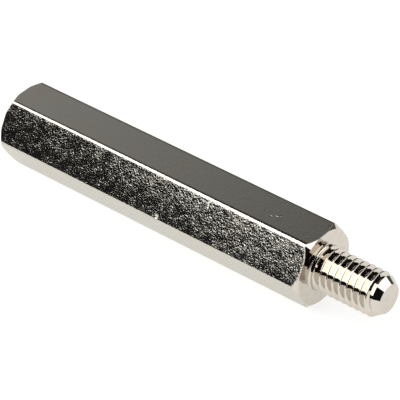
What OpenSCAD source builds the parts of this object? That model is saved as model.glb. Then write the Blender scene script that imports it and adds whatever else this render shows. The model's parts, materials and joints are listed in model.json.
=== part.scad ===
// Male-female hex standoff, lying on one of its flats.
// It is one turned and plated piece: a hexagonal body with chamfered ends, a tapped
// blind hole in one end and a threaded stud on the other. The stud and the hole are
// plain here: the stud at its thread's major diameter, the hole at its tapping drill's.
// The bar's axis is X, with the stud towards +X. The origin is on the surface that the
// bar lies on, at the middle of the standoff's overall length and of its width.

/* [Body] */
// Distance across the flats of the hexagonal bar
af = 5; // [4.5:0.5:10]
// Length of the hexagonal body, from end face to end face
body_l = 25; // [12:1:60]
// Radius of the six long edges of the bar
edge_r = 0.25; // [0.05:0.05:0.5]
// How far the edge of the round end face stands outside the flats
face_rim = 0.05; // [0.01:0.01:0.15]
// Angle of the end chamfers to the end face
chamfer_a = 45; // [30:5:60]

/* [Stud] */
// Major diameter of the stud's thread, as turned
stud_d = 2.98; // [2.4:0.02:4]
// Length of the stud, from the shoulder to its tip
stud_l = 5; // [3:0.5:12]
// Radius of the fillet between the shoulder and the stud
fillet_r = 0.15; // [0.05:0.05:0.3]
// Diameter of the flat face at the tip
tip_d = 2; // [1:0.1:2.2]
// Length of the chamfer behind the tip
tip_l = 0.7; // [0.2:0.1:1.2]

/* [Tapped hole] */
// Diameter of the hole's wall, which is the tapping drill's
hole_d = 2.5; // [2:0.1:3.2]
// Depth of the hole's full diameter
hole_l = 10; // [4:0.5:10.5]
// Angle across the drill's point
drill_a = 118; // [90:2:140]
// Width of the chamfer at the hole's mouth
mouth_c = 0.3; // [0.1:0.05:0.5]

/* [Hidden] */

$fn = 96;
SIDES = 6;
HALF_SIDE_A = 180 / SIDES;
// Cuts run this far past the surface that they open
OVER = 1;

// Centre of each long edge's rounding, from the bar's axis
edge_centre = (af / 2 - edge_r) / cos(HALF_SIDE_A);
// Furthest reach of the bar's rounded edges from its axis
reach = edge_centre + edge_r;
face_r = af / 2 + face_rim;
// Length of the end chamfers along the bar, out to the height of the edges
chamfer_l = (reach - face_r) * tan(chamfer_a);
// Slope of the chamfers, carried past the edges so that the cut is clean
chamfer_over_l = OVER * tan(chamfer_a);

full_l = body_l + stud_l;
hole_face_x = -full_l / 2;
axis_z = af / 2;

// Section of the bar, with a flat at the bottom: six flats and six rounded corners
module bar_section() {
  corner = [for (i = [0 : SIDES - 1]) (2 * i + 1) * HALF_SIDE_A];
  // Where each rounding runs into the flats on its two sides
  polygon([
    for (a = corner, side = [-1, 1])
      edge_centre * [cos(a), sin(a)]
      + edge_r * [cos(a + side * HALF_SIDE_A), sin(a + side * HALF_SIDE_A)]
  ]);
  for (a = corner)
    rotate(a)
      translate([edge_centre, 0])
        circle(edge_r);
}

// Turned outline that cuts the chamfers on both ends of the bar
module end_chamfers() {
  rotate_extrude()
    polygon([
      [0, 0],
      [face_r, 0],
      [reach + OVER, chamfer_l + chamfer_over_l],
      [reach + OVER, body_l - chamfer_l - chamfer_over_l],
      [face_r, body_l],
      [0, body_l],
    ]);
}

module body() {
  intersection() {
    linear_extrude(body_l)
      bar_section();
    end_chamfers();
  }
}

// Stud at the thread's major diameter, with the fillet at its foot and the chamfer at its tip
module stud() {
  stud_r = stud_d / 2;
  foot_r = stud_r + fillet_r;
  rotate_extrude() {
    difference() {
      translate([0, body_l - OVER])
        square([foot_r, OVER + fillet_r]);
      translate([foot_r, body_l + fillet_r])
        circle(fillet_r);
    }
    polygon([
      [0, body_l],
      [stud_r, body_l],
      [stud_r, body_l + stud_l - tip_l],
      [tip_d / 2, body_l + stud_l],
      [0, body_l + stud_l],
    ]);
  }
}

// Blind hole with its mouth's chamfer and the drill's point at its end
module tapped_hole() {
  hole_r = hole_d / 2;
  mouth_r = hole_r + mouth_c;
  rotate_extrude()
    polygon([
      [0, -OVER],
      [mouth_r + OVER, -OVER],
      [mouth_r, 0],
      [hole_r, mouth_c],
      [hole_r, hole_l],
      [0, hole_l + hole_r / tan(drill_a / 2)],
    ]);
}

module standoff() {
  color("silver")
    translate([hole_face_x, 0, axis_z])
      rotate([0, 90, 0])
        difference() {
          union() {
            body();
            stud();
          }
          tapped_hole();
        }
}

standoff();
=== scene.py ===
import json
import math

import bmesh
import bpy
from mathutils import Matrix, Vector


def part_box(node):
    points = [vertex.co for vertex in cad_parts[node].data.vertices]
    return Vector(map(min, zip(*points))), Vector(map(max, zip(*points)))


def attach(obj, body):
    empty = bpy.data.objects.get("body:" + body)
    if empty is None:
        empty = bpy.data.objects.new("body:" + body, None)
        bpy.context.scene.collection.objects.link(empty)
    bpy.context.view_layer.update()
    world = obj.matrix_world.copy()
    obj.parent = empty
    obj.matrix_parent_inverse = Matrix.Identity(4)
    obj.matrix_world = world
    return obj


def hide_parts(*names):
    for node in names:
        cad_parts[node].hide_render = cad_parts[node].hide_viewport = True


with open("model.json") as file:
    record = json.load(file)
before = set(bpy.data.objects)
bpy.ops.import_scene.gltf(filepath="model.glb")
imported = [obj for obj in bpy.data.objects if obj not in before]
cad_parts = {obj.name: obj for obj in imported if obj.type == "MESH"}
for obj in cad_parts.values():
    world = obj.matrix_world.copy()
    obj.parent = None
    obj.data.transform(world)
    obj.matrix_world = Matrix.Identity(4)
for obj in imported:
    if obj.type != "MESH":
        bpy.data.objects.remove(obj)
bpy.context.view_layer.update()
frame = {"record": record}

bl_info = {
    "name": "Hex Standoff",
    "version": (1, 0, 0),
    "blender": (4, 5, 0),
    "location": "3D View > Sidebar > Standoff",
    "description": "Builds a nickel-plated hex standoff with a threaded stud and a tapped hole",
    "category": "Object",
}

NODE = "standoff"
BODY = "root"

MM = 0.001
SIDES = 6
HALF_SIDE = math.pi / SIDES

# Material slots of the piece: the bar's drawn surface and the surfaces cut on the lathe
DRAWN = 0
TURNED = 1


def mount(name):
    """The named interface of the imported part."""
    return next(m for m in frame["record"]["mounts"] if m["name"] == name)


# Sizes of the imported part, in metres
LOW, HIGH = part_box(NODE)
AXIS_Z = mount("stud")["pos_m"][2]
SHOULDER_X = mount("shoulder")["pos_m"][0]
TAPPED_FACE_X = mount("tapped_end_face")["pos_m"][0]
STUD_RADIUS = mount("stud")["dims"]["r_mm"] * MM
# The stud is plainly round between the shoulder's fillet and the tip's chamfer
STUD_ROUND_HALF = mount("stud")["dims"]["length_mm"] * MM / 2
FILLET_RADIUS = mount("stud")["pos_m"][0] - STUD_ROUND_HALF - SHOULDER_X
TIP_CHAMFER_X = mount("stud")["pos_m"][0] + STUD_ROUND_HALF
HOLE_RADIUS = mount("tapped_hole")["dims"]["r_mm"] * MM
HOLE_WALL_LENGTH = mount("tapped_hole")["dims"]["length_mm"] * MM
ACROSS_FLATS = HIGH.z - LOW.z
REACH = (HIGH.y - LOW.y) / 2
CORNER = ACROSS_FLATS / 2 / math.cos(HALF_SIDE)
EDGE_RADIUS = (CORNER - REACH) / (1 / math.cos(HALF_SIDE) - 1)


def length(name, default, description):
    """A property that holds a length in metres."""
    return bpy.props.FloatProperty(
        name=name, description=description, default=default, min=0.0, unit="LENGTH", precision=5
    )


def angle(name, default, description):
    """A property that holds an angle in radians."""
    return bpy.props.FloatProperty(
        name=name, description=description, default=default, unit="ROTATION", subtype="ANGLE"
    )


def number(name, default, description):
    """A property that holds a plain number."""
    return bpy.props.FloatProperty(name=name, description=description, default=default)


def colour(name, default, description):
    """A property that holds a colour."""
    return bpy.props.FloatVectorProperty(
        name=name, description=description, default=default, size=3, subtype="COLOR", min=0.0, max=1.0
    )


class BarSizes(bpy.types.PropertyGroup):
    """Sizes of the hexagonal bar and of the chamfers on its ends"""

    across_flats: length("Across Flats", ACROSS_FLATS, "Width of the bar across two opposite flats")
    edge_radius: length("Edge Radius", EDGE_RADIUS, "Radius of the six long edges")
    face_rim: length("Face Rim", 0.05 * MM, "How far the edge of an end face stands outside the flats")
    chamfer_angle: angle("Chamfer Angle", math.radians(45), "Angle of the end chamfers to the end faces")


class StudSizes(bpy.types.PropertyGroup):
    """Sizes of the stud's collar and tip"""

    collar_length: length("Collar Length", 0.25 * MM, "Length of the plain collar before the thread")
    collar_rim: length("Collar Rim", 0.02 * MM, "How far the collar stands outside the thread")
    collar_fillet: length("Collar Fillet", FILLET_RADIUS, "Radius of the fillet between shoulder and collar")
    tip_radius: length("Tip Radius", 1.0 * MM, "Radius of the flat face at the stud's tip")


class HoleSizes(bpy.types.PropertyGroup):
    """Sizes of the hole's mouth and bottom"""

    mouth_chamfer: length("Mouth Chamfer", 0.3 * MM, "Width of the chamfer at the hole's mouth")
    drill_angle: angle("Drill Angle", math.radians(118), "Angle across the drill's point")


class ThreadSizes(bpy.types.PropertyGroup):
    """Sizes of the stud's thread and of the hole's"""

    pitch: length("Pitch", 0.5 * MM, "Distance between two turns of both threads")
    flank_angle: angle("Flank Angle", math.radians(60), "Angle between the two flanks of a groove")
    stud_depth: length("Stud Depth", 0.307 * MM, "Depth of the groove on the stud")
    stud_root: length("Stud Root", 0.083 * MM, "Width of the bottom of the stud's groove")
    near_round: length("Near Rounding", 0.006 * MM, "Rounding of the ridges on the shoulder's side")
    far_round: length("Far Rounding", 0.027 * MM, "Rounding of the ridges on the tip's side")
    stud_start: length("Stud Start", 0.355 * MM, "Place of the groove at the stud's top, from the shoulder")
    hole_depth: length("Hole Depth", 0.26 * MM, "Depth of the groove in the hole's wall")
    tapped_length: length("Tapped Length", 9.0 * MM, "How far the thread reaches into the hole")


class PlateFinish(bpy.types.PropertyGroup):
    """Colours, grain, wear and tool marks of the nickel plate"""

    drawn_plate: colour("Drawn Plate", (0.573, 0.553, 0.494), "Colour of the plate on the drawn flats")
    turned_plate: colour("Turned Plate", (0.622, 0.580, 0.520), "Colour of the plate on turned faces")
    thin_plate: colour("Thin Plate", (0.60, 0.53, 0.45), "Colour where the plate is thin or worn")
    rim_tint: colour("Rim Tint", (0.87, 0.87, 0.85), "How much of the light a face keeps when seen edge-on")
    drawn_roughness: number("Drawn Roughness", 0.06, "Roughness of the plate where the grain is finest")
    grain_haze: number("Grain Haze", 0.048, "Roughness that the coarser grain adds")
    turned_roughness: number("Turned Roughness", 0.05, "Roughness of the plate on turned faces")
    grain_size: length("Grain Size", 0.115 * MM, "Size of the grain on the drawn flats")
    grain_height: length("Grain Height", 0.0132 * MM, "Height of the grain on the drawn flats")
    fine_share: number("Fine Share", 0.3, "Height of the grain on the finer flats, as a share of the coarse")
    grain_growth: number("Grain Growth", 0.15, "How much coarser the grain is at the stud than at mid-length")
    patch_size: length("Patch Size", 0.5 * MM, "Size of the patches in which the grain is finer or coarser")
    edge_drop: length("Edge Drop", 0.008 * MM, "How far a coarse flat falls away towards its long edges")
    edge_roll: length("Edge Roll", 0.017 * MM, "How far a fine flat rolls off just before its long edges")
    edge_lip: length("Edge Lip", 0.018 * MM, "How far a coarse flat rises right at its upper edge")
    lip_decline: number("Lip Decline", 0.35, "How much lower that lip is at the stud than at mid-length")
    smudge_size: length("Smudge Size", 2.5 * MM, "Size of the faint smudges on the drawn flats")
    wear_width: length("Wear Width", 0.15 * MM, "Width of the wear along the flats' edges at the shoulder")
    wear_roughness: number("Wear Roughness", 0.4, "Roughness that the wear at the shoulder adds")
    ring_width: length("Ring Width", 0.1 * MM, "Width of the rings that the cutting tool left")
    ring_height: length("Ring Height", 0.0005 * MM, "Height of the rings that the cutting tool left")


class StageLook(bpy.types.PropertyGroup):
    """Brightness of the stage's lights"""

    floor: number("Floor", 0.83, "Brightness of the floor's own light")
    left_softbox: number("Left Softbox", 3.2, "Brightness of the softbox on the left")
    right_softbox: number("Right Softbox", 2.0, "Brightness of the softbox on the right")
    glow: number("Glow", 0.45, "Brightness of the glow on the room's far wall")
    low_glow: number("Low Glow", 0.12, "Brightness of the glow low on the room's wall")
    ceiling: number("Ceiling", 0.3, "Brightness of the glow overhead")
    room: number("Room", 0.008, "Brightness of the dark room")


# Steps round a turned shape, and round one turn of the stud's thread and of the tap's
TURNED_STEPS = 128
STUD_STEPS = 128
TAP_STEPS = 64
# Segments across a rounded ridge of a thread, a rounded long edge and a fillet
RIDGE_SEGMENTS = 4
EDGE_SEGMENTS = 16
FILLET_SEGMENTS = 6
# Share of the pitch that is flat on top of the tap's ridges
TAP_CREST = 1 / 8
# The rest is in millimetres. How far cutting shapes run past what they cut
OVER = 1.0
# Distance from each end of a thread's straight edges to the vertex that keeps them flat
HOLD_GAP = 0.0093
# Vertices nearer than this are one
MERGE = 2e-4
# Edges where the surface turns by more than this angle stay sharp
SHARP_ANGLE = math.radians(28)


def in_mm(value):
    """A length in millimetres, the unit in which the meshes are shaped."""
    return value / MM


def finished(mesh, material):
    """The mesh with its faces pointing outwards and in one material slot."""
    bmesh.ops.recalc_face_normals(mesh, faces=mesh.faces)
    for face in mesh.faces:
        face.material_index = material
    return mesh


def lathe(outline, fillets=None):
    """Closed mesh turned about X from an outline of (x, radius) points that starts and ends on X.
    Fillets gives the radius at each rounded corner by its place in the outline."""
    mesh = bmesh.new()
    verts = [mesh.verts.new((x, 0, radius)) for x, radius in outline]
    for first, second in zip(verts, verts[1:]):
        mesh.edges.new((first, second))
    for index, radius in (fillets or {}).items():
        bmesh.ops.bevel(
            mesh, geom=[verts[index]], offset=radius, offset_type="OFFSET", segments=FILLET_SEGMENTS,
            profile=0.5, affect="VERTICES", material=-1,
        )
    bmesh.ops.spin(
        mesh, geom=mesh.verts[:] + mesh.edges[:], cent=(0, 0, 0), axis=(1, 0, 0),
        angle=2 * math.pi, steps=TURNED_STEPS, use_merge=True,
    )
    bmesh.ops.remove_doubles(mesh, verts=mesh.verts, dist=MERGE)
    return finished(mesh, TURNED)


def trim(mesh, x, outward):
    """Cut a tube square at x and close it there. Outward is -1 or 1, the side that falls away."""
    bmesh.ops.bisect_plane(
        mesh, geom=mesh.verts[:] + mesh.edges[:] + mesh.faces[:], dist=MERGE,
        plane_co=(x, 0, 0), plane_no=(outward, 0, 0), clear_outer=True,
    )
    rim = [edge for edge in mesh.edges if edge.is_boundary
           and all(abs(vert.co.x - x) < MERGE for vert in edge.verts)]
    bmesh.ops.contextual_create(mesh, geom=rim)


def hold_flat(edge):
    """Add a vertex close to each end of a straight edge, so that smooth shading stays flat between them."""
    piece, vert = bmesh.utils.edge_split(edge, edge.verts[0], HOLD_GAP / edge.calc_length())
    rest = max((edge, piece), key=lambda part: part.calc_length())
    bmesh.utils.edge_split(rest, rest.other_vert(vert), HOLD_GAP / rest.calc_length())


def thread_outline(mesh, turns, phase, sizes):
    """Vertices of a thread's outline over a range of turns, joined by edges."""
    pitch, low, high, low_land, high_land = sizes
    flank = (pitch - low_land - high_land) / 2
    corners = [(0, low), (low_land, low), (low_land + flank, high), (low_land + flank + high_land, high)]
    verts = [
        mesh.verts.new((phase + turn * pitch + x, 0, radius))
        for turn in turns
        for x, radius in corners
    ]
    for one, two in zip(verts, verts[1:]):
        mesh.edges.new((one, two))
    return verts


def thread_rod(start, end, phase, sizes, rounding, steps):
    """Threaded rod from x = start to x = end. Sizes are the pitch, the low and the high radius and the
    widths of the low and the high land of the thread. Phase is the x of a low land's start. Rounding
    gives the radius at both ends of the low land and at the near and the far end of the high land."""
    pitch, low, high, low_land, high_land = sizes
    # Whole turns from before the start to past the end, and two more for the open ends of the helix
    first = math.floor((start - phase) / pitch) - 2
    last = math.ceil((end - phase) / pitch) + 1
    mesh = bmesh.new()
    verts = thread_outline(mesh, range(first, last + 1), phase, sizes)
    corners = len(rounding)
    for place, radius in enumerate(rounding):
        bmesh.ops.bevel(
            mesh, geom=verts[corners + place:-corners:corners], offset=radius, offset_type="OFFSET",
            segments=RIDGE_SEGMENTS, profile=0.5, affect="VERTICES", material=-1,
        )
    flank = (pitch - low_land - high_land) / 2
    for edge in [edge for edge in mesh.edges if edge.calc_length() > flank]:
        hold_flat(edge)
    bmesh.ops.spin(
        mesh, geom=mesh.verts[:] + mesh.edges[:], cent=(0, 0, 0), axis=(1, 0, 0),
        dvec=(pitch / steps, 0, 0), angle=2 * math.pi, steps=steps,
    )
    bmesh.ops.remove_doubles(mesh, verts=mesh.verts, dist=MERGE)
    trim(mesh, start, -1)
    trim(mesh, end, 1)
    return finished(mesh, TURNED)


def hex_bar(start, end, bar):
    """Hexagonal bar with rounded long edges, lying on a flat."""
    mesh = bmesh.new()
    corner = in_mm(bar.across_flats) / 2 / math.cos(HALF_SIDE)
    bmesh.ops.create_circle(
        mesh, segments=SIDES, radius=corner, cap_ends=True,
        matrix=Matrix.Translation((start, 0, 0)) @ Matrix.Rotation(math.pi / 2, 4, "Y"),
    )
    grown = bmesh.ops.extrude_face_region(mesh, geom=mesh.faces[:])
    moved = [item for item in grown["geom"] if isinstance(item, bmesh.types.BMVert)]
    bmesh.ops.translate(mesh, verts=moved, vec=(end - start, 0, 0))
    long_edges = [edge for edge in mesh.edges
                  if abs(edge.verts[0].co.x - edge.verts[1].co.x) > MERGE]
    bmesh.ops.bevel(
        mesh, geom=long_edges, offset=in_mm(bar.edge_radius) * math.tan(HALF_SIDE), offset_type="OFFSET",
        segments=EDGE_SEGMENTS, profile=0.5, affect="EDGES", material=-1,
    )
    return finished(mesh, DRAWN)


def new_object(name, mesh):
    """Object in the scene that holds the mesh, which is freed."""
    data = bpy.data.meshes.new(name)
    mesh.to_mesh(data)
    mesh.free()
    made = bpy.data.objects.new(name, data)
    bpy.context.scene.collection.objects.link(made)
    return made


def combine(base, tool, operation):
    """Base with the tool cut out of it, joined to it or kept in common with it. Frees both."""
    parts = [new_object("base", base), new_object("tool", tool)]
    modifier = parts[0].modifiers.new("combine", "BOOLEAN")
    modifier.operation = operation
    modifier.solver = "EXACT"
    modifier.object = parts[1]
    result = bmesh.new()
    result.from_object(parts[0], bpy.context.evaluated_depsgraph_get())
    for part in parts:
        data = part.data
        bpy.data.objects.remove(part)
        bpy.data.meshes.remove(data)
    return result


def stud_radii(thread):
    """Radius of the stud at the top of its thread and at the bottom of the groove."""
    top = in_mm(STUD_RADIUS)
    return top, top - in_mm(thread.stud_depth)


def groove_slope(thread):
    """How far a groove's flank runs along the axis for each millimetre of its depth."""
    return math.tan(thread.flank_angle / 2)


def body_mesh(bar, stud, thread):
    """The bar between its chamfered end faces, with the collar that the stud grows from."""
    left, shoulder, tip = in_mm(TAPPED_FACE_X), in_mm(SHOULDER_X), in_mm(HIGH.x)
    face_r = in_mm(bar.across_flats) / 2 + in_mm(bar.face_rim)
    run = OVER * math.tan(bar.chamfer_angle)
    stud_r, root_r = stud_radii(thread)
    collar_r = stud_r + in_mm(stud.collar_rim)
    collar_end = shoulder + in_mm(stud.collar_length)
    fillet_corner = (shoulder, collar_r)
    # The last two points are hidden inside the stud
    outline = [
        (left, 0), (left, face_r), (left + run, face_r + OVER),
        (shoulder - run, face_r + OVER), (shoulder, face_r), fillet_corner,
        (collar_end, collar_r), (collar_end + (collar_r - root_r) * groove_slope(thread), root_r),
        (collar_end + OVER / 2, root_r / 2), (collar_end + OVER / 2, 0),
    ]
    turned = lathe(outline, {outline.index(fillet_corner): in_mm(stud.collar_fillet)})
    return combine(hex_bar(left - OVER, tip, bar), turned, "INTERSECT")


def stud_mesh(stud, thread):
    """The threaded stud with the chamfer at its tip. It starts inside the body."""
    shoulder, tip, chamfer_x = in_mm(SHOULDER_X), in_mm(HIGH.x), in_mm(TIP_CHAMFER_X)
    stud_r, root_r = stud_radii(thread)
    pitch, root_land = in_mm(thread.pitch), in_mm(thread.stud_root)
    crest_land = pitch - root_land - 2 * in_mm(thread.stud_depth) * groove_slope(thread)
    near, far = in_mm(thread.near_round), in_mm(thread.far_round)
    rod = thread_rod(
        shoulder - 2 * OVER, tip + OVER, shoulder + in_mm(thread.stud_start),
        (pitch, root_r, stud_r, root_land, crest_land), [near, near, near, far], STUD_STEPS,
    )
    tip_r = in_mm(stud.tip_radius)
    rise = (stud_r - tip_r) / (tip - chamfer_x)
    envelope = lathe([
        (shoulder - OVER, 0), (shoulder - OVER, stud_r + OVER), (chamfer_x - OVER / rise, stud_r + OVER),
        (tip, tip_r), (tip, 0),
    ])
    return combine(rod, envelope, "INTERSECT")


def drill(hole):
    """The drilled hole's space, with its mouth's chamfer and the drill's point."""
    face = in_mm(TAPPED_FACE_X)
    hole_r = in_mm(HOLE_RADIUS)
    mouth = in_mm(hole.mouth_chamfer)
    bottom = face + mouth + in_mm(HOLE_WALL_LENGTH)
    return lathe([
        (face - OVER, 0), (face - OVER, hole_r + mouth + OVER), (face + mouth, hole_r),
        (bottom, hole_r), (bottom + hole_r / math.tan(hole.drill_angle / 2), 0),
    ])


def tap(thread):
    """Tap for the hole's thread. Its lands stay inside the drilled wall, and only its ridges cut."""
    face = in_mm(TAPPED_FACE_X)
    hole_r = in_mm(HOLE_RADIUS)
    pitch = in_mm(thread.pitch)
    low = hole_r - in_mm(thread.hole_depth) / 2
    high = hole_r + in_mm(thread.hole_depth)
    crest_land = pitch * TAP_CREST
    low_land = pitch - crest_land - 2 * (high - low) * groove_slope(thread)
    near = in_mm(thread.near_round)
    return thread_rod(
        face - OVER, face + in_mm(thread.tapped_length), face,
        (pitch, low, high, low_land, crest_land), [near, near, near, near], TAP_STEPS,
    )


def standoff_mesh(settings):
    """The whole standoff, in millimetres, with its axis on X."""
    bar, stud, thread = settings.bar, settings.stud, settings.thread
    mesh = combine(body_mesh(bar, stud, thread), stud_mesh(stud, thread), "UNION")
    mesh = combine(mesh, drill(settings.hole), "DIFFERENCE")
    mesh = combine(mesh, tap(thread), "DIFFERENCE")
    bmesh.ops.remove_doubles(mesh, verts=mesh.verts, dist=MERGE)
    bmesh.ops.dissolve_degenerate(mesh, edges=mesh.edges, dist=MERGE)
    return mesh


def shade_smooth(mesh, across_flats):
    """Keep flat faces flat and curved ones smooth, with a hard edge wherever two faces meet at an angle."""
    half = across_flats / 2
    for face in mesh.faces:
        centre = face.calc_center_median()
        normal = face.normal
        on_end = abs(normal.x) > 1 - MERGE
        on_flat = face.material_index == DRAWN and abs(normal.dot(centre) - half) < MERGE
        face.smooth = not (on_end or on_flat)
    for edge in mesh.edges:
        if len(edge.link_faces) == 2 and edge.calc_face_angle() > SHARP_ANGLE:
            edge.smooth = False


class STANDOFF_OT_build(bpy.types.Operator):
    """Build the standoff as one closed mesh with both of its threads cut"""

    bl_idname = "standoff.build"
    bl_label = "Build Standoff"

    def execute(self, context):
        settings = context.scene.standoff
        bar, finish = settings.bar, settings.finish
        mesh = standoff_mesh(settings)
        shade_smooth(mesh, in_mm(bar.across_flats))
        place = Matrix.Translation((0, 0, AXIS_Z)) @ Matrix.Scale(MM, 4)
        bmesh.ops.transform(mesh, matrix=place, verts=mesh.verts)
        piece = new_object("hex_standoff", mesh)
        piece.data.materials.append(drawn_nickel(bar.across_flats / 2 + bar.face_rim, finish))
        piece.data.materials.append(turned_nickel(finish))
        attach(piece, BODY)
        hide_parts(NODE)
        return {"FINISHED"}


class Shade:
    """A socket in a node tree, so that shader maths is written as plain sums."""

    def __init__(self, tree, socket):
        self.tree = tree
        self.socket = socket

    def maths(self, operation, *others):
        return self.tree.add("ShaderNodeMath", {"operation": operation}, dict(enumerate((self, *others))))

    def __add__(self, other):
        return self.maths("ADD", other)

    __radd__ = __add__

    def __sub__(self, other):
        return self.maths("SUBTRACT", other)

    def __rsub__(self, other):
        return self * -1 + other

    def __mul__(self, other):
        return self.maths("MULTIPLY", other)

    __rmul__ = __mul__

    def __pow__(self, other):
        return self.maths("POWER", other)

    def __abs__(self):
        return self.maths("ABSOLUTE")


class Tree:
    """The node tree of a material or a world, which starts from the main node that it comes with."""

    def __init__(self, owner, main):
        owner.use_nodes = True
        self.owner = owner
        self.nodes = owner.node_tree.nodes
        self.links = owner.node_tree.links
        self.main = self.nodes[main]

    def add(self, kind, settings=None, inputs=None, output=0):
        """Add a node: its settings are set first, then its sockets get their values or links."""
        node = self.nodes.new(kind)
        for name, value in (settings or {}).items():
            setattr(node, name, value)
        self.feed(node, inputs or {})
        return Shade(self, self.socket(node.outputs, output))

    def split(self, vector):
        """The three parts of a vector."""
        parts = self.add("ShaderNodeSeparateXYZ", None, {"Vector": vector})
        return [Shade(self, socket) for socket in parts.socket.node.outputs]

    def vector(self, operation, one, two, output="Vector"):
        """Vector Math on two vectors."""
        return self.add("ShaderNodeVectorMath", {"operation": operation}, {0: one, 1: two}, output=output)

    def distance(self, one, two):
        """Distance from one point to another."""
        return self.vector("DISTANCE", one, two, output="Value")

    def noise(self, place, size, detail):
        """Noise from 0 to 1 with features of about the given size."""
        return self.add(
            "ShaderNodeTexNoise", {"noise_dimensions": "3D"},
            {"Vector": place, "Scale": 1 / size, "Detail": detail, "Roughness": 0.5}, output="Fac",
        )

    def fade(self, value, low, high, at_low, at_high):
        """Run smoothly from one number to another as a value goes from low to high."""
        return self.add("ShaderNodeMapRange", {"interpolation_type": "SMOOTHSTEP"}, {
            "Value": value, "From Min": low, "From Max": high, "To Min": at_low, "To Max": at_high,
        }, output="Result")

    def mix(self, one, two, share):
        """Run from one colour to another as share goes from 0 to 1."""
        return self.add("ShaderNodeMix", {"data_type": "RGBA"}, {
            "Factor": share, "A": opaque(one), "B": opaque(two),
        }, output="Result")

    def bump(self, height):
        """Let a height in metres tilt the surface's normal."""
        normal = self.add(
            "ShaderNodeBump", None, {"Height": height, "Strength": 1.0, "Distance": 1.0}, output="Normal"
        )
        self.feed(self.main, {"Normal": normal})

    def feed(self, node, inputs):
        """Give a node's sockets their values or links."""
        for name, value in inputs.items():
            socket = self.socket(node.inputs, name)
            if isinstance(value, Shade):
                self.links.new(value.socket, socket)
            else:
                socket.default_value = value

    @staticmethod
    def socket(sockets, name):
        """The socket with a number, or the one with a name that the node's settings use."""
        if isinstance(name, int):
            return sockets[name]
        return next(socket for socket in sockets if socket.name == name and socket.enabled)


def opaque(rgb):
    """A colour with full alpha."""
    return (*rgb, 1.0)


# Detail of the noises, in octaves beyond the first
SOFT_NOISE = 1.0
FINE_NOISE = 2.0

# Strength of the grain in the finest patches, and how much more of it the coarsest have
PATCH_LEAST = 0.4
PATCH_SPREAD = 1.2
# Sixths of a turn from +Y, either way, beyond which a flat is one of the two front ones
FRONT_TURN = 2
# Height over which a long edge is one of the top flat's
UPPER_Z = 1.5 * AXIS_Z
# Power of nearness by which a coarse flat falls away
DROP_POWER = 3
# Spans of nearness to a long edge over which a fine flat rolls off, a coarse one rises to its lip, and
# the plate thins out
ROLL_SPAN = (0.84, 0.96)
LIP_SPAN = (0.92, 1.0)
THIN_SPAN = (0.88, 1.0)
# How much of the thin plate's colour shows on the long edges, in the smudges and in the patches of the
# turned faces, and the spans of noise over which the smudges and the patches come up
EDGE_THINNING = 0.3
SMUDGE_THINNING = 0.5
TURNED_THINNING = 0.8
SMUDGE_SPAN = (0.45, 0.7)
TURNED_SPAN = (0.4, 0.75)
# Share of the stated roughness that the smoothest patches of the turned faces have
TURNED_LEAST = 0.5

# Small dents on the bar, each as its place, its reach and its depth in millimetres. A negative depth
# makes a burr
MARKS = (
    ((6.25, -0.48, 5.0), 0.10, 0.028),
    ((6.58, -0.22, 5.0), 0.13, -0.036),
    ((6.70, -0.14, 5.0), 0.11, -0.028),
    ((2.15, -1.56, 4.80), 0.10, 0.032),
    ((2.16, -1.63, 4.67), 0.10, 0.032),
    ((2.17, -1.71, 4.54), 0.10, 0.032),
    ((-1.29, -2.77, 2.70), 0.22, 0.050),
    ((-3.28, 0.09, 5.0), 0.10, 0.004),
    ((9.80, 0.92, 5.0), 0.25, 0.006),
)


class Spot:
    """A point of the surface, as shader values: its place, the place's three parts, its height over the
    axis and its distance from it."""

    def __init__(self, tree):
        self.place = tree.add("ShaderNodeTexCoord", output="Object")
        self.x, self.y, self.z = tree.split(self.place)
        self.height = self.z - AXIS_Z
        self.radius = (self.y * self.y + self.height ** 2) ** 0.5


class FlatSpot(Spot):
    """A point of the bar's flats. Front is 1 on the two front flats, nearness goes from 0 at a flat's
    middle to 1 at its long edges, and upper is 1 by the edges of the top flat."""

    def __init__(self, tree):
        super().__init__(tree)
        # Grows by one from each long edge to the next
        turn = self.height.maths("ARCTAN2", self.y) * (SIDES / (2 * math.pi))
        self.front = abs(turn).maths("GREATER_THAN", FRONT_TURN)
        self.nearness = abs(turn.maths("FRACT") - 0.5) * 2
        self.upper = self.z.maths("GREATER_THAN", UPPER_Z)


def plated(name, roughness, finish):
    """A tree whose surface is nickel plate of one roughness."""
    tree = Tree(bpy.data.materials.new(name), "Principled BSDF")
    tree.feed(tree.main, {
        "Metallic": 1.0, "Roughness": roughness, "Specular Tint": opaque(finish.rim_tint),
    })
    return tree


def coarseness(tree, spot, finish):
    """Strength of the grain, which comes in patches, grows towards the stud and is less on fine flats."""
    patch = tree.noise(spot.place, finish.patch_size, SOFT_NOISE)
    growth = 1 + spot.x * (finish.grain_growth / SHOULDER_X)
    flat = spot.front * (1 - finish.fine_share) + finish.fine_share
    return (patch * PATCH_SPREAD + PATCH_LEAST) * growth * flat


def with_edges(tree, height, spot, finish):
    """The height with the form of the long edges: a coarse flat falls away and rises again in a lip at its
    upper edge, and a fine flat rolls off."""
    height = height - spot.front * spot.nearness ** DROP_POWER * finish.edge_drop
    roll = tree.fade(spot.nearness, *ROLL_SPAN, 0, finish.edge_roll)
    lip = tree.fade(spot.nearness, *LIP_SPAN, 0, finish.edge_lip) * spot.upper
    lip = lip * (1 - spot.x * (finish.lip_decline / SHOULDER_X))
    return height - (1 - spot.front) * roll + spot.front * lip


def with_marks(tree, height, spot):
    """The height with the dents and burrs."""
    for centre, reach, depth in MARKS:
        away = tree.distance(spot.place, Vector(centre) * MM)
        height = height - tree.fade(away, 0, reach * MM, depth * MM, 0)
    return height


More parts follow.
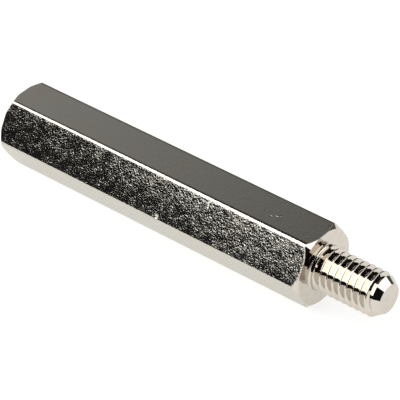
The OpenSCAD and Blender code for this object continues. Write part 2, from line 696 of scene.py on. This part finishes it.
def drawn_nickel(face_radius, finish):
    """Nickel over the drawn flats: a fine grain in coarser and finer patches, small marks and edges where
    the plate has worn thin."""
    tree = plated("nickel on drawn flats", finish.drawn_roughness, finish)
    spot = FlatSpot(tree)
    coarse = coarseness(tree, spot, finish)
    grain = tree.noise(spot.place, finish.grain_size, FINE_NOISE)
    height = with_edges(tree, grain * coarse * finish.grain_height, spot, finish)
    tree.bump(with_marks(tree, height, spot))
    # Distance along the bar to the edge that the shoulder's chamfer and face leave on the flats
    beyond = (spot.radius - face_radius).maths("MAXIMUM", 0)
    rubbed = tree.fade(SHOULDER_X - spot.x - beyond, 0, finish.wear_width, 1, 0)
    worn = tree.fade(spot.nearness, *THIN_SPAN, 0, EDGE_THINNING)
    cloud = tree.noise(spot.place, finish.smudge_size, FINE_NOISE)
    smudge = tree.fade(cloud, *SMUDGE_SPAN, 0, SMUDGE_THINNING)
    tree.feed(tree.main, {
        "Base Color": tree.mix(finish.drawn_plate, finish.thin_plate, worn + smudge + rubbed),
        "Roughness": coarse * finish.grain_haze + finish.drawn_roughness + rubbed * finish.wear_roughness,
    })
    return tree.owner


def turned_nickel(finish):
    """Nickel over the turned and threaded surfaces, with the rings that the cutting tool left and a
    slightly uneven plate."""
    tree = plated("nickel on turned faces", finish.turned_roughness, finish)
    spot = Spot(tree)
    rings = tree.add("ShaderNodeTexNoise", {"noise_dimensions": "1D"}, {
        "W": spot.radius, "Scale": 1 / finish.ring_width, "Detail": SOFT_NOISE,
    }, output="Fac")
    tree.bump(rings * finish.ring_height)
    patch = tree.noise(spot.place, finish.patch_size, FINE_NOISE)
    uneven = tree.fade(patch, *TURNED_SPAN, 0, TURNED_THINNING)
    tree.feed(tree.main, {
        "Base Color": tree.mix(finish.turned_plate, finish.thin_plate, uneven),
        "Roughness": (patch + TURNED_LEAST) * finish.turned_roughness,
    })
    return tree.owner


# Camera: where it looks from, in degrees, and what it sees, in widths across the flats
CAMERA_AZIMUTH = 41.19
CAMERA_ELEVATION = 37.93
CAMERA_ROLL = -2.14
CAMERA_DISTANCE = 33.88
CAMERA_RIGHT = 0.3875
CAMERA_UP = -0.1133
IMAGE_SIDE = 400
FOCAL_PIXELS = 2637
# Width of its sensor, in millimetres, and the nearest and the furthest that it sees, in metres
SENSOR = 36.0
CLIP_START = 0.01
CLIP_END = 10.0


def add_camera():
    """Camera that looks down on the standoff from the stud's end."""
    azimuth, elevation, roll = map(math.radians, (CAMERA_AZIMUTH, CAMERA_ELEVATION, CAMERA_ROLL))
    back = Vector((
        math.sin(azimuth) * math.cos(elevation),
        -math.cos(azimuth) * math.cos(elevation),
        math.sin(elevation),
    ))
    level = Vector((0, 0, 1)).cross(back).normalized()
    right = Matrix.Rotation(roll, 3, back) @ level
    up = back.cross(right)
    middle = Vector(((TAPPED_FACE_X + SHOULDER_X) / 2, 0, AXIS_Z))
    offset = right * CAMERA_RIGHT + up * CAMERA_UP + back * CAMERA_DISTANCE
    turn = Matrix((right, up, back)).transposed().to_4x4()
    data = bpy.data.cameras.new("camera")
    data.sensor_width = SENSOR
    data.lens = SENSOR * FOCAL_PIXELS / IMAGE_SIDE
    data.clip_start = CLIP_START
    data.clip_end = CLIP_END
    camera = bpy.data.objects.new("camera", data)
    camera.matrix_world = Matrix.Translation(middle + ACROSS_FLATS * offset) @ turn
    bpy.context.scene.collection.objects.link(camera)
    bpy.context.scene.camera = camera


# Softboxes: the way to each one's middle and its turn about that way, in degrees, and how far it
# reaches from there to its left, right, bottom and top, as shares of its distance
LEFT_SOFTBOX = (-126.3, 40.0, 6.1, 0.75, 0.34, 0.40, 0.80)
RIGHT_SOFTBOX = (30.8, 36.3, 86.3, 0.10, 0.79, 0.79, 0.57)
SOFTBOX_DISTANCE = 0.8

# Faint glow on the room's far wall: the way to its middle, in degrees, how far it reaches sideways as a
# share of the room's radius, and how many times sooner it ends upwards
GLOW_AZIMUTH = 152.0
GLOW_ELEVATION = 33.0
GLOW_REACH = 0.7
GLOW_FLATNESS = 2.5
# Smaller glow low on the wall: the way to its middle, in degrees, and how far from there it starts and
# ends to fade, as shares of the room's radius
LOW_GLOW_AZIMUTH = 76.0
LOW_GLOW_ELEVATION = 3.0
LOW_GLOW_REACHES = (0.1, 0.35)
# Heights over the floor between which the glow overhead comes up, as shares of the room's radius
CEILING_HEIGHTS = (0.92, 0.98)

# The floor's size and how far it is below the standoff, in metres, its colour and that of its own light
FLOOR_SIDE = 4.0
FLOOR_DROP = 0.00002
FLOOR_PAINT = (0.3, 0.3, 0.3)
FLOOR_LIGHT = (1.0, 1.0, 0.99)
WHITE = (1.0, 1.0, 1.0)


def way(azimuth, elevation):
    """Unit vector towards a compass angle from +X and a height above the floor, both in degrees."""
    azimuth, elevation = math.radians(azimuth), math.radians(elevation)
    return Vector((
        math.cos(elevation) * math.cos(azimuth), math.cos(elevation) * math.sin(azimuth), math.sin(elevation),
    ))


def add_softbox(name, place, radiance):
    """A soft panel that faces the standoff."""
    azimuth, elevation, roll, left, right, down, up = place
    back = way(azimuth, elevation)
    level = Vector((0, 0, 1)).cross(back).normalized()
    across = Matrix.Rotation(math.radians(roll), 3, back) @ level
    upwards = back.cross(across)
    data = bpy.data.lights.new(name, "AREA")
    data.shape = "RECTANGLE"
    data.size = (left + right) * SOFTBOX_DISTANCE
    data.size_y = (down + up) * SOFTBOX_DISTANCE
    data.energy = radiance * math.pi * data.size * data.size_y
    light = bpy.data.objects.new(name, data)
    middle = back + across * (right - left) / 2 + upwards * (up - down) / 2
    turn = Matrix((across, upwards, back)).transposed().to_4x4()
    light.matrix_world = Matrix.Translation(middle * SOFTBOX_DISTANCE) @ turn
    light.visible_camera = False
    bpy.context.scene.collection.objects.link(light)


def add_floor(look):
    """Pale floor that also glows, so that it is as white far away as near."""
    mesh = bmesh.new()
    bmesh.ops.create_grid(mesh, x_segments=1, y_segments=1, size=FLOOR_SIDE / 2,
                          matrix=Matrix.Translation((0, 0, -FLOOR_DROP)))
    floor = new_object("floor", mesh)
    tree = Tree(bpy.data.materials.new("white floor"), "Principled BSDF")
    tree.feed(tree.main, {
        "Base Color": opaque(FLOOR_PAINT), "Roughness": 1.0, "Specular IOR Level": 0.0,
        "Emission Color": opaque(FLOOR_LIGHT), "Emission Strength": look.floor,
    })
    floor.data.materials.append(tree.owner)


def add_room(look):
    """Dark room with a faint glow on its far wall, a smaller one low on the wall and another overhead."""
    tree = Tree(bpy.data.worlds.new("dark room"), "Background")
    bpy.context.scene.world = tree.owner
    toward = tree.add("ShaderNodeTexCoord", output="Generated")
    middle = way(GLOW_AZIMUTH, GLOW_ELEVATION)
    squash = Vector((1, 1, GLOW_FLATNESS))
    # Below the glow's middle every direction counts as level with it, so that the glow reaches the floor
    lifted = tree.vector("MAXIMUM", toward, (-1, -1, middle.z))
    away = tree.distance(tree.vector("MULTIPLY", lifted, squash), middle * squash)
    low = tree.distance(toward, way(LOW_GLOW_AZIMUTH, LOW_GLOW_ELEVATION))
    height = tree.vector("DOT_PRODUCT", toward, (0, 0, 1), output="Value")
    far_glow = tree.fade(away, 0, GLOW_REACH, look.glow, look.room)
    overhead = tree.fade(height, *CEILING_HEIGHTS, 0, look.ceiling)
    low_glow = tree.fade(low, *LOW_GLOW_REACHES, look.low_glow, 0)
    tree.feed(tree.main, {"Color": opaque(WHITE), "Strength": far_glow + overhead + low_glow})


class STANDOFF_OT_stage(bpy.types.Operator):
    """Set the pale floor, the soft lights and the camera"""

    bl_idname = "standoff.stage"
    bl_label = "Set Stage"

    def execute(self, context):
        look = context.scene.standoff.stage
        add_camera()
        add_floor(look)
        add_softbox("softbox_left", LEFT_SOFTBOX, look.left_softbox)
        add_softbox("softbox_right", RIGHT_SOFTBOX, look.right_softbox)
        add_room(look)
        context.scene.view_settings.view_transform = "Standard"
        return {"FINISHED"}


class StandoffSettings(bpy.types.PropertyGroup):
    """All settings of the standoff and its stage"""

    bar: bpy.props.PointerProperty(type=BarSizes)
    stud: bpy.props.PointerProperty(type=StudSizes)
    hole: bpy.props.PointerProperty(type=HoleSizes)
    thread: bpy.props.PointerProperty(type=ThreadSizes)
    finish: bpy.props.PointerProperty(type=PlateFinish)
    stage: bpy.props.PointerProperty(type=StageLook)


class STANDOFF_PT_panel(bpy.types.Panel):
    """Sizes, finish and stage of the standoff"""

    bl_label = "Hex Standoff"
    bl_space_type = "VIEW_3D"
    bl_region_type = "UI"
    bl_category = "Standoff"

    def draw(self, context):
        settings = context.scene.standoff
        for group_name in StandoffSettings.__annotations__:
            group = getattr(settings, group_name)
            box = self.layout.box()
            for name in type(group).__annotations__:
                box.prop(group, name)
        self.layout.operator(STANDOFF_OT_build.bl_idname)
        self.layout.operator(STANDOFF_OT_stage.bl_idname)


CLASSES = (
    BarSizes, StudSizes, HoleSizes, ThreadSizes, PlateFinish, StageLook, StandoffSettings,
    STANDOFF_OT_build, STANDOFF_OT_stage, STANDOFF_PT_panel,
)


def register():
    for cls in CLASSES:
        bpy.utils.register_class(cls)
    bpy.types.Scene.standoff = bpy.props.PointerProperty(type=StandoffSettings)


def unregister():
    del bpy.types.Scene.standoff
    for cls in reversed(CLASSES):
        bpy.utils.unregister_class(cls)


def main():
    """Register the add-on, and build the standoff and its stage."""
    register()
    bpy.ops.standoff.build()
    bpy.ops.standoff.stage()
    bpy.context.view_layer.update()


if __name__ == "__main__":
    main()
